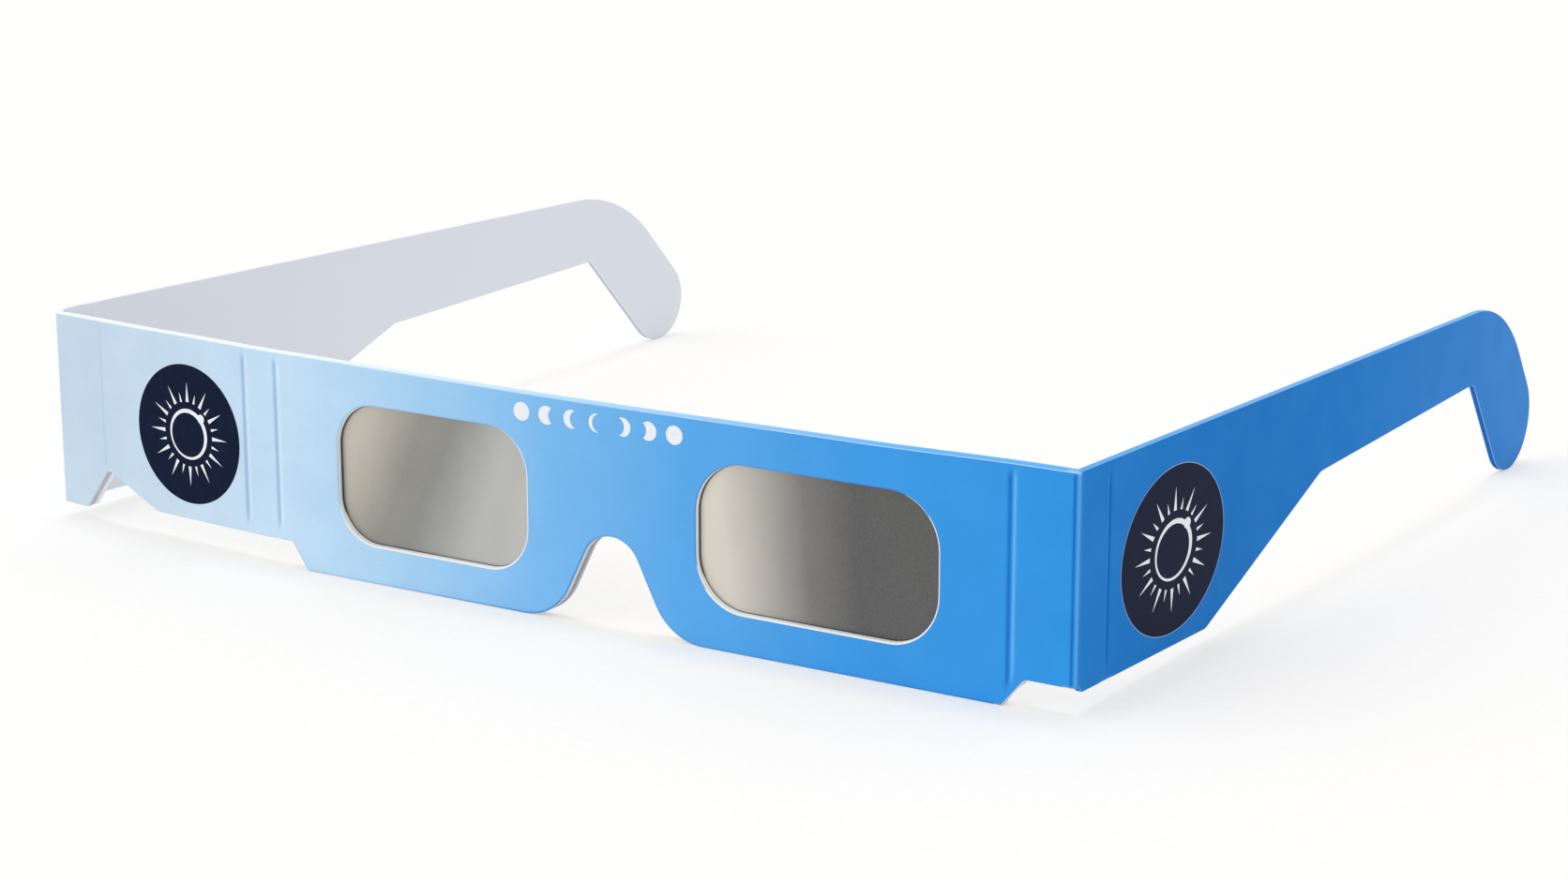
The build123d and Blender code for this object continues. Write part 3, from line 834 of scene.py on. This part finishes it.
FRONT_ENDS = [(LEFT_SCORE_AT + SCORE, 1), (RIGHT_SCORE_AT - SCORE, -1)]
GUSSET_ENDS = [(OUTER_SCORE_AT + SCORE, 1), (LEFT_SCORE_AT - SCORE, -1)]
LEFT_WING_ENDS = [(LEFT_CORNER_AT + CORNER, 1), (OUTER_SCORE_AT - SCORE, -1)]
RIGHT_WING_ENDS = [(RIGHT_SCORE_AT + SCORE, 1), (RIGHT_CORNER_AT - CORNER, -1)]
LEFT_ROOT_ENDS = [(LEFT_CORNER_AT - CORNER, -1), (LEFT_STRAP_AT + STRAP, 1)]
RIGHT_ROOT_ENDS = [(RIGHT_CORNER_AT + CORNER, 1), (RIGHT_STRAP_AT - STRAP, -1)]
rims = [(middle, reach) for middle, _, _, reach in WINDOWS.values()]
wing_score = (-112.6, 10.4)

card("front_print", "front_card", MAIN, "front", FRONT_ENDS, folded=True, rims=rims)
card("gusset_print", "left_gusset_card", GUSSET, "left_gusset", GUSSET_ENDS, folded=True)
card("left_wing_print", "left_wing_card", LEFT_WING, "left_wing", LEFT_WING_ENDS, folded=True, score=wing_score)
card("right_wing_print", "right_wing_card", RIGHT_WING, "right_wing", RIGHT_WING_ENDS, folded=True)
card("left_root_print", "left_temple_root", LEFT_TEMPLE, "left_root", LEFT_ROOT_ENDS)
card("left_temple_print", "left_temple", LEFT_TEMPLE, "left_arm", [(LEFT_STRAP_AT - STRAP, -1)])
card("right_root_print", "right_temple_root", RIGHT_TEMPLE, "right_root", RIGHT_ROOT_ENDS)
card("right_temple_print", "right_temple", RIGHT_TEMPLE, "right_arm", [(RIGHT_STRAP_AT + STRAP, 1)])
card("back_ply", "back_card", MAIN, "front", [], printed_face=False)
card("gusset_ply", "left_gusset_liner", GUSSET, "left_gusset", [], printed_face=False)
card("left_wing_ply", "left_wing_liner", LEFT_WING, "left_wing", [], printed_face=False)
card("right_wing_ply", "right_wing_liner", RIGHT_WING, "right_wing", [], printed_face=False)


def cap_block(name, panel, body, low, high):
    """The end of a wing's folded top, behind the bent corner."""
    bm = bmesh.new()
    top = fold_height(low)
    section = [(-FACE, CAP_FLOOR), (-FACE, top - crown(low, -FACE))]
    section += [(depth, top - crown(low, depth)) for depth in TOP_DEPTHS[2:]]
    section += [(STACK_BACK, CAP_FLOOR)]
    lines = [[bm.verts.new(panel.at(x, z, depth)) for depth, z in section] for x in (low, high)]
    for j in range(len(section)):
        k = (j + 1) % len(section)
        bm.faces.new([lines[0][j], lines[0][k], lines[1][k], lines[1][j]])
    for line in lines:
        bm.faces.new(line)
    bm.normal_update()
    bmesh.ops.recalc_face_normals(bm, faces=bm.faces[:])
    keep_attributes(bm, lambda vert: (panel.sheet(vert.co), 0.0))
    for face in bm.faces:
        face.material_index = 0 if face.normal.z > 0.15 else 2
    for vert in bm.verts:
        vert.co *= MM
    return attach(settle(make_object(name, bm, CARD_MATERIALS), []), body)


CAP_GAP = 0.76  # between the fold line and the end of the cap behind it
cap_block("left_wing_cap_end", LEFT_WING, "left_wing", LEFT_CORNER_AT + CAP_GAP, LEFT_CORNER_AT + CORNER)
cap_block("right_wing_cap_end", RIGHT_WING, "right_wing", RIGHT_CORNER_AT - CORNER, RIGHT_CORNER_AT - CAP_GAP)


# Scores and creases


def ends(below, above, low=(0.9, 3.6), high=(0.5, 2.6)):
    """Share of a score's depth that is left towards its two ends."""
    return fade(below, *low) * fade(above, *high)


def score_press(s, below, above):
    """Pressed groove of a score, narrower towards its ends."""
    share = ends(below, above)
    return 0.2 * share * bump_at(s, -0.1, 0.2 + 0.12 * share)


def score_shading(s, below, above):
    """Painted shade on the left wall and painted highlight on the right wall of a score."""
    share = ends(below, above)
    return share * (-0.8 * bump_at(s, -0.32, 0.34) + 0.42 * bump_at(s, 0.58, 0.3))


def wing_low(s):
    """Lower edge of the wings and of the gusset."""
    return WING_LOW


def right_score_low(s):
    """Slanted step of the lower edge, which runs across the right score."""
    return min(WING_LOW, max(0, (s + 1.2) * WING_LOW / 3.9))


for name, node, panels, bodies, low_edge in (
    ("right_score_fold", "right_wing_score", (MAIN, RIGHT_WING), ("front", "right_wing"), right_score_low),
    ("left_inner_score_fold", "left_score_inner", (GUSSET, MAIN), ("left_gusset", "front"), wing_low),
    ("left_outer_score_fold", "left_score_outer", (LEFT_WING, GUSSET), ("left_wing", "left_gusset"), wing_low),
):
    strip(name, node, panels, bodies, SCORE, low_edge, None, score_press, score_shading)

# How much the temples' edges drop with each millimetre, as drawn round the corners
LEFT_DROP = 0.02
RIGHT_DROP = 0.027


def right_corner_low(s):
    """Lower edge round the right corner: the wing's, then the root's rounded corner."""
    start, low, radius = 0.65, 3.8, 1.2
    if s < 0.3:
        return WING_LOW
    x = min(radius, max(0.0, s - start))
    rounded = low + radius - sqrt(max(0, radius**2 - (radius - x) ** 2))
    return min(WING_LOW, rounded) - RIGHT_DROP * max(0, s - start)


def right_corner_high(s):
    """Upper edge round the right corner, stepping up to the temple's."""
    return fold_height(RIGHT_CORNER_AT) + 0.03 * fade(s, -0.1, 0.3) - max(0, s) * RIGHT_DROP


def corner_press(s, below, above):
    """Groove in the wing beside the right corner's bead."""
    return 0.12 * ends(below, above, (0.2, 0.9), (0.5, 1.4)) * bump_at(s, -0.75, 0.22)


def corner_shading(s, below, above):
    """Painted shade in the groove, then a painted highlight on the corner's bead, partly crushed card, strongest on
    its top.
    """
    share = ends(below, above, (0.0, 0.6), (0.1, 0.6))
    sides = share * (-1.0 * bump_at(s, -0.74, 0.24) + 0.38 * bump_at(s, 0.02, 0.28))
    return sides + 0.7 * bump_at(s, 0.05, 0.3) * fade(-above, -0.8, -0.2)


strip(
    "right_corner_fold_card",
    "right_corner_crease",
    (RIGHT_WING, RIGHT_TEMPLE),
    ("right_wing", "right_root"),
    CORNER,
    right_corner_low,
    right_corner_high,
    corner_press,
    corner_shading,
)


def left_corner_low(s):
    """Lower edge round the left corner."""
    return LEG_LOW + 0.2 * fade(-s, 0, 1.2) - LEFT_DROP * max(0, -s)


def left_corner_high(s):
    """Upper edge round the left corner, stepping up to the temple's."""
    return fold_height(LEFT_CORNER_AT) + 0.58 * fade(-s, 0.0, 0.6) - max(0, -s) * LEFT_DROP


# The left corner: no groove, and a faint painted highlight along its crease
strip(
    "left_corner_fold_card",
    "left_corner_crease",
    (LEFT_TEMPLE, LEFT_WING),
    ("left_root", "left_wing"),
    CORNER,
    left_corner_low,
    left_corner_high,
    lambda s, below, above: 0.0,
    lambda s, below, above: 0.08 * bump_at(s, 0.0, 0.5),
)


def strap_press(s, below, above):
    """Narrow groove of a strap's score."""
    share = ends(below, above, (1.0, 5.0), (0.8, 4.0))
    return 0.16 * share * bump_at(s, 0.0, 0.16 + 0.16 * share)


def strap_shading(s, below, above):
    """Thin painted highlight with a painted shadow beside it."""
    share = ends(below, above, (1.0, 5.0), (0.6, 3.6))
    return share * (0.14 * bump_at(s, -0.38, 0.16) - 0.55 * bump_at(s, 0.22, 0.26))


def strap_inside(s, below, above):
    """Faint dotted painted shade along the pressed line on the plain side."""
    return -0.75 * ends(below, above, (0.2, 1), (0.2, 1)) * bump_at(s, 0, 0.2)


def edges_of(slope, rise, distance):
    """Lower and upper edge of a temple about a place on it, along one direction of the sheet."""
    drop = tan(radians(slope))
    side = 1 if distance > 0 else -1
    return (
        lambda s: rise - (abs(distance) + side * s) * drop,
        lambda s: TEMPLE_TOP - (abs(distance) + side * s) * drop,
    )


for side, panel, bodies, edges in (
    ("left", LEFT_TEMPLE, ("left_arm", "left_root"), edges_of(1.13, 2.8, -7.4)),
    ("right", RIGHT_TEMPLE, ("right_root", "right_arm"), edges_of(1.56, 3.8, 8.9)),
):
    name, node, panels = f"{side}_strap_fold_card", f"{side}_temple_score", (panel, panel)
    strip(name, node, panels, bodies, STRAP, *edges, strap_press, strap_shading, strap_inside)

# Films, tape and glue keep their shapes
own_materials = {f"{side}_filter_film": FILMS[side] for side in WINDOWS}
own_materials.update({f"{side}_film_tape": TAPE for side in WINDOWS})
own_materials.update({name: GLUE for name in ("glue_sheet", "left_gusset_glue", "left_wing_glue", "right_wing_glue")})
for name, material in own_materials.items():
    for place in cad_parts[name].material_slots:
        place.material = material


# Printed motifs: an eclipse's ring and rays on two discs, and a row of its phases over the bridge


def circle(x, y, radius, count=96):
    """Points round a circle."""
    return [(x + radius * cos(2 * pi * i / count), y + radius * sin(2 * pi * i / count)) for i in range(count)]


def crescent(x, y, radius, shift, count=40):
    """Outline of a disc with another of the same size, moved sideways by shift radii, taken from it."""
    half = shift / 2
    reach = sqrt(1 - half * half)
    turn = atan2(reach, half)
    turns = [turn + (2 * pi - 2 * turn) * i / count for i in range(count + 1)]
    outer = [(x + radius * cos(t), y + radius * sin(t)) for t in turns]
    turns = [pi + turn - 2 * turn * i / count for i in range(1, count)]
    return outer + [(x + radius * (shift + cos(t)), y + radius * sin(t)) for t in turns]


def tell_inside(point, ring):
    """Whether a point lies inside a closed outline."""
    x, y = point
    inside = False
    for (x1, y1), (x2, y2) in zip(ring, ring[1:] + ring[:1]):
        if (y1 > y) != (y2 > y) and x < (x2 - x1) * (y - y1) / (y2 - y1) + x1:
            inside = not inside
    return inside


def decal(name, place_at, rings, pick, materials, splits=()):
    """A flat print made of outlines, each region with the ink that pick gives it, split at the given places."""
    points, edges = [], []
    for ring in rings:
        first = len(points)
        points += [Vector(p) for p in ring]
        edges += [(first + i, first + (i + 1) % len(ring)) for i in range(len(ring))]
    verts, _, faces, *_ = delaunay_2d_cdt(points, edges, [], 0, 1e-6)
    bm = bmesh.new()
    spots = [place_at(v.x, v.y) for v in verts]
    made = [bm.verts.new(spot[0] * MM) for spot in spots]
    for corners in faces:
        middle = sum((verts[i] for i in corners), Vector((0, 0))) / len(corners)
        kind = pick(middle, [tell_inside(middle, ring) for ring in rings])
        if kind is not None:
            bm.faces.new([made[i] for i in corners]).material_index = kind
    bm.verts.index_update()
    keep_attributes(bm, lambda vert: (spots[vert.index][1], 0.0))
    bmesh.ops.delete(bm, geom=[v for v in bm.verts if not v.link_faces], context="VERTS")
    for x in splits:
        here, beside = place_at(x, 0)[0], place_at(x + 1, 0)[0]
        normal = (beside - here).normalized()
        bmesh.ops.bisect_plane(bm, geom=whole(bm), plane_co=here * MM, plane_no=normal, dist=1e-8)
    obj = make_object(name, bm, materials)
    return obj


def disc_rings():
    """Outlines of the disc's motif, in units of the disc's radius."""
    rings = [circle(0, 0, 1.0), circle(0, 0, 0.99), circle(0, 0, 0.36), circle(-0.012, -0.012, 0.315, 64)]
    for i in range(24):
        angle = 2 * pi * i / 24
        near, far = 0.46, 0.60 if i % 2 else 0.74
        wide = 0.020 if i % 2 else 0.028
        across, along = Vector((-sin(angle), cos(angle))), Vector((cos(angle), sin(angle)))
        rings.append([tuple(along * near + across * wide), tuple(along * near - across * wide), tuple(along * far)])
    rings.append(circle(0.25, 0.25, 0.065, 32))
    return rings


def disc_pick(middle, inside):
    """Pale rim, navy field, white ring, rays and bead."""
    if not inside[0]:
        return None
    if not inside[1]:
        return 2
    if inside[-1] or any(inside[4:-1]) or (inside[2] and not inside[3]):
        return 1
    return 0


def on_panel(panel, across, height, along_scale, up_scale, tilt=0.0):
    """Places a flat print's own coordinates on a panel's printed face."""

    def place_at(x, y):
        a, b = x * along_scale, y * up_scale
        c, s = cos(tilt), sin(tilt)
        left, up = across + a * c - b * s, height + a * s + b * c
        return panel.at(left, up, FACE - 0.001), Vector((left, up, FACE))

    return place_at


def on_temple(distance, below, slope):
    """Place on the right temple, from its corner and its upper edge, which runs down at a slope."""
    across = RIGHT_CORNER_AT + distance * cos(slope) + below * sin(slope)
    return across, TEMPLE_TOP + distance * sin(slope) - below * cos(slope)


INKS = (NAVY, WHITE, HALO)
LEFT_DISC = (OUTER_SCORE_AT - 14.0, 20.0)
LEFT_DISC_SIZE = (12.5, 12.5)
RIGHT_DISC_SIZE = (17.5, 13.5)
PAST_SCORE = (0.925, 0.94, 0.955, 0.97, 0.985)  # where the left disc is split across the outer score
slope = radians(-1.56)
on_wing = on_panel(LEFT_WING, *LEFT_DISC, *LEFT_DISC_SIZE)
left_disc = decal("left_disc_print", on_wing, disc_rings(), disc_pick, INKS, PAST_SCORE)
bend_over(left_disc, "left_score_outer", (LEFT_WING, GUSSET), ("left_wing", "left_gusset"), SCORE)
on_strap = on_panel(RIGHT_TEMPLE, *on_temple(30.9, 18.5, slope), *RIGHT_DISC_SIZE, slope)
right_disc = decal("right_disc_print", on_strap, disc_rings(), disc_pick, INKS)
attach(right_disc, "right_arm")

PHASE_FIRST, PHASE_STEP, PHASE_HEIGHT, PHASE_RADIUS = -18.9, 4.9, 33.9, 1.55
phases = []
for i, shift in enumerate((None, 1.25, 0.8, 0.42, -0.8, -1.25, None)):
    x = PHASE_FIRST + PHASE_STEP * i
    if shift is None:
        phases.append(circle(x, PHASE_HEIGHT, PHASE_RADIUS, 64))
    elif shift > 0:
        phases.append(crescent(x, PHASE_HEIGHT, PHASE_RADIUS, shift))
    else:
        phases.append([(2 * x - px, py) for px, py in crescent(x, PHASE_HEIGHT, PHASE_RADIUS, -shift)])
on_bridge = on_panel(MAIN, 0, 0, 1, 1)
bridge = decal("bridge_print", on_bridge, phases, lambda middle, inside: 1 if any(inside) else None, INKS)
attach(bridge, "front")

# Floor, light and camera


FLOOR_GLOW = 0.46  # share of the floor's white that no shadow touches


def seen_rays(tree, rays):
    """1 for rays that the camera or a gloss sees, 0 for the light that the scene itself receives."""
    return tree.math("MAXIMUM", rays["Is Camera Ray"], rays["Is Glossy Ray"])


def stage_material():
    """White floor that keeps soft shadows."""
    material = bpy.data.materials.new("studio_floor")
    material.use_nodes = True
    tree = Tree(material.node_tree)
    place = tree.add("ShaderNodeTexCoord")[3]
    grain = tree.noise(place, 600, 3)
    colour = tree.mix(tree.range(grain, 0.3, 0.7), linear("FBF9F6"), linear("FEFCF9"))
    lit = tree.add("ShaderNodeBsdfDiffuse", {"Color": colour})[0]
    glow = tree.add("ShaderNodeEmission", {"Color": linear("FFFFFF"), "Strength": 1.0})[0]
    rays = tree.add("ShaderNodeLightPath")
    white = tree.times(seen_rays(tree, rays), FLOOR_GLOW)
    both = tree.add("ShaderNodeMixShader", {0: white, 1: lit, 2: glow})[0]
    tree.add("ShaderNodeOutputMaterial", {"Surface": both})
    return material


bm = bmesh.new()
bmesh.ops.create_grid(bm, x_segments=8, y_segments=8, size=6)
floor = make_object("studio_floor", bm, [stage_material()])
floor.location.z = -0.00002

world = bpy.data.worlds.new("studio")
scene.world = world
world.use_nodes = True
tree = Tree(world.node_tree)
rays = tree.add("ShaderNodeLightPath")
seen = tree.math("MAXIMUM", seen_rays(tree, rays), rays["Is Transmission Ray"])
strength = tree.range(seen, 0, 1, 0.78, 1.0, "LINEAR")
background = tree.add("ShaderNodeBackground", {"Color": (1, 1, 1, 1), "Strength": strength})[0]
tree.add("ShaderNodeOutputWorld", {"Surface": background})


def lamp(name, towards, softness, power):
    """Broad soft light from far away, shining along a direction."""
    light = bpy.data.lights.new(name, "SUN")
    light.angle = radians(softness)
    light.energy = power
    obj = bpy.data.objects.new(name, light)
    obj.rotation_euler = Vector(towards).to_track_quat("-Z", "Y").to_euler()
    scene.collection.objects.link(obj)


lamp("overhead", (0.08, -0.12, -1), 14, 0.55)
lamp("front_left", (0.75, 0.8, -0.75), 60, 0.55)

camera = bpy.data.objects.new("camera", bpy.data.cameras.new("camera"))
camera.location = (0.313375, -0.518825, 0.16497)
camera.rotation_euler = (radians(90 - 14.4995), 0, radians(31.820))
camera.data.sensor_fit = "HORIZONTAL"
camera.data.sensor_width = 36
camera.data.lens = 77.62
camera.data.clip_start = 0.01
camera.data.clip_end = 50
scene.collection.objects.link(camera)
scene.camera = camera
scene.view_settings.view_transform = "Standard"
